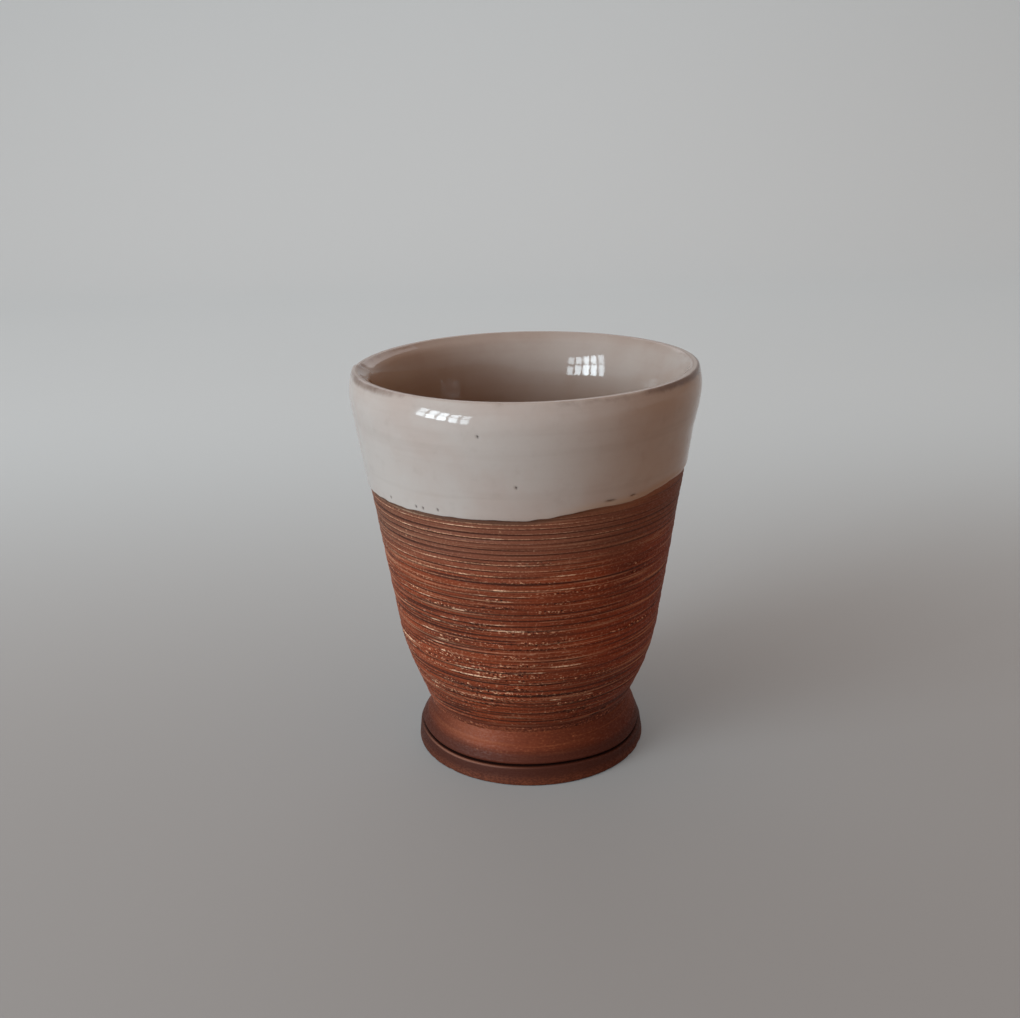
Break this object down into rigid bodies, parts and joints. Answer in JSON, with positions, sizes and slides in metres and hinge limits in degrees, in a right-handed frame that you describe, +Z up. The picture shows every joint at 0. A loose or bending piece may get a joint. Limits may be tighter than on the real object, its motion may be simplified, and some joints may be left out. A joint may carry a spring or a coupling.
{
  "type": "footed tumbler cup",
  "caption": "Thrown red clay cup without handles, tapering to a flared foot, with a combed bare wall and a pale glaze inside and round the lip.",
  "frame": {"origin": "on the table at the middle of the foot's standing ring", "axes": "+Z up along the cup's turning axis, -Y towards the viewer of the picture, +X to the viewer's right"},
  "size_m": [0.0822, 0.0822, 0.096],
  "materials": {
    "bare_clay": "matte, fired, with turned rings",
    "fired_slip": "matte, rough",
    "pale_glaze": "glossy"
  },
  "bodies": {
    "root": {"bowl": "bare_clay", "foot": "bare_clay", "slip_joint": "fired_slip", "inner_glaze": "pale_glaze", "outer_glaze_band": "pale_glaze"}
  },
  "joints": []
}
